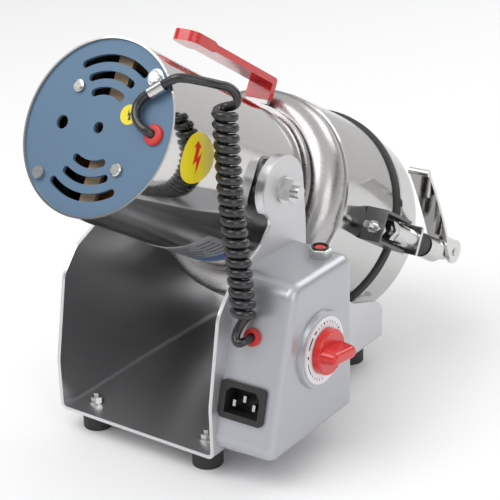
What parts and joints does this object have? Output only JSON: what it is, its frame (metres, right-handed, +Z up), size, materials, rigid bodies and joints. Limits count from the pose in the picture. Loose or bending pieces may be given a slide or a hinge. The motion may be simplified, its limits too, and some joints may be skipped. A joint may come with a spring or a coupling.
{
  "type": "hammer mill",
  "caption": "Swing-type hammer mill: steel grinding bowl with a latched lid on a tilting motor, in a bent steel stand with a side control box.",
  "frame": {"origin": "on the floor at the centre of the four rubber feet", "axes": "+Z up; +Y towards the lid end; +X towards the side with the control box"},
  "size_m": [0.1993, 0.3085, 0.2712],
  "materials": {
    "satin_steel": "satin stainless",
    "polished_steel": "mirror-polished stainless",
    "end_plate_steel": "satin stainless",
    "silver_paint": "silver metallic paint",
    "black_rubber": "matt",
    "black_plastic": "matt",
    "red_plastic": "gloss",
    "red_rubber": "soft",
    "red_coating": "dipped vinyl",
    "dial_metal": "satin with printed ticks",
    "plated_steel": "zinc plated",
    "dark_steel": "dark plated",
    "bearing_steel": "ground",
    "lamination_steel": "stacked laminations",
    "copper": "enamelled winding",
    "carbon": "carbon",
    "tan_board": "phenolic board",
    "black_cord": "gloss jacket"
  },
  "bodies": {
    "stand": {"stand_frame": "satin_steel", "rubber_feet": "black_rubber", "foot_fasteners": "plated_steel", "control_box": "silver_paint", "inlet_socket": "black_plastic", "inlet_pins": "plated_steel", "timer_body": "black_plastic", "dial_plate": "dial_metal", "breaker_body": "black_plastic", "breaker_collar": "plated_steel", "box_grommet": "red_rubber", "trunnion_bushes": "black_plastic", "cord_upper_run": "black_cord", "cord_curl": "black_cord", "cord_box_run": "black_cord"},
    "knob": {"timer_knob": "red_plastic", "timer_shaft": "plated_steel"},
    "button": {"reset_button": "red_plastic"},
    "mill": {"motor_housing": "polished_steel", "rear_end_plate": "end_plate_steel", "plate_screws": "plated_steel", "plate_grommet": "red_rubber", "cord_clip": "plated_steel", "cord_plate_run": "black_cord", "bearing_bridge": "tan_board", "motor_bearings": "bearing_steel", "stator_core": "lamination_steel", "field_coils": "copper", "brush_holders": "plated_steel", "carbon_brushes": "carbon", "front_bracket": "satin_steel", "trunnion_studs": "plated_steel", "trunnion_nuts": "plated_steel", "bowl_base": "satin_steel", "bowl_wall": "polished_steel", "toothed_liner": "satin_steel", "hinge_bracket": "satin_steel", "hinge_pin": "plated_steel", "latch_bracket": "dark_steel", "bracket_bolt": "plated_steel", "handle_bar": "satin_steel", "handle_grip": "red_coating"},
    "rotor": {"rotor_shaft": "bearing_steel", "armature": "lamination_steel", "commutator": "copper", "cooling_fan": "black_plastic", "grinding_blades": "satin_steel", "blade_spacers": "bearing_steel", "blade_nut": "plated_steel"},
    "lid": {"lid_shell": "polished_steel", "lid_inner_plate": "satin_steel", "lid_gasket": "black_rubber", "hinge_arm": "satin_steel", "latch_lug": "plated_steel", "latch_rod": "plated_steel", "latch_nut": "plated_steel", "latch_sleeves": "plated_steel", "latch_buffer": "black_rubber", "lever_pin": "plated_steel"},
    "lever": {"latch_lever": "polished_steel"}
  },
  "joints": [
    {"name": "mill_tilt", "type": "hinge", "parent": "stand", "child": "mill", "pos_m": [0, -0.0185, 0.1665], "axis": [1, 0, 0], "range_deg": [0, 120], "deforming": ["cord_upper_run", "cord_curl"]},
    {"name": "rotor_spin", "type": "hinge", "parent": "mill", "child": "rotor", "pos_m": [0, -0.0185, 0.1665], "axis": [0, -0.8607, 0.509], "continuous": true},
    {"name": "lid_hinge", "type": "hinge", "parent": "mill", "child": "lid", "pos_m": [-0.05528, 0.12263, 0.15957], "axis": [0.766, 0.3272, 0.5533], "range_deg": [0, 105]},
    {"name": "lever_turn", "type": "hinge", "parent": "lid", "child": "lever", "pos_m": [0.0845, 0.15396, 0.06915], "axis": [-1, 0, 0], "range_deg": [0, 100]},
    {"name": "knob_turn", "type": "hinge", "parent": "stand", "child": "knob", "pos_m": [0.1, -0.0417, 0.077], "axis": [1, 0, 0], "range_deg": [0, 300]},
    {"name": "reset_press", "type": "slide", "parent": "stand", "child": "button", "axis": [-0.0471, 0, -0.9989], "range_m": [0, 0.0025], "stiffness_N_per_m": 400}
  ]
}
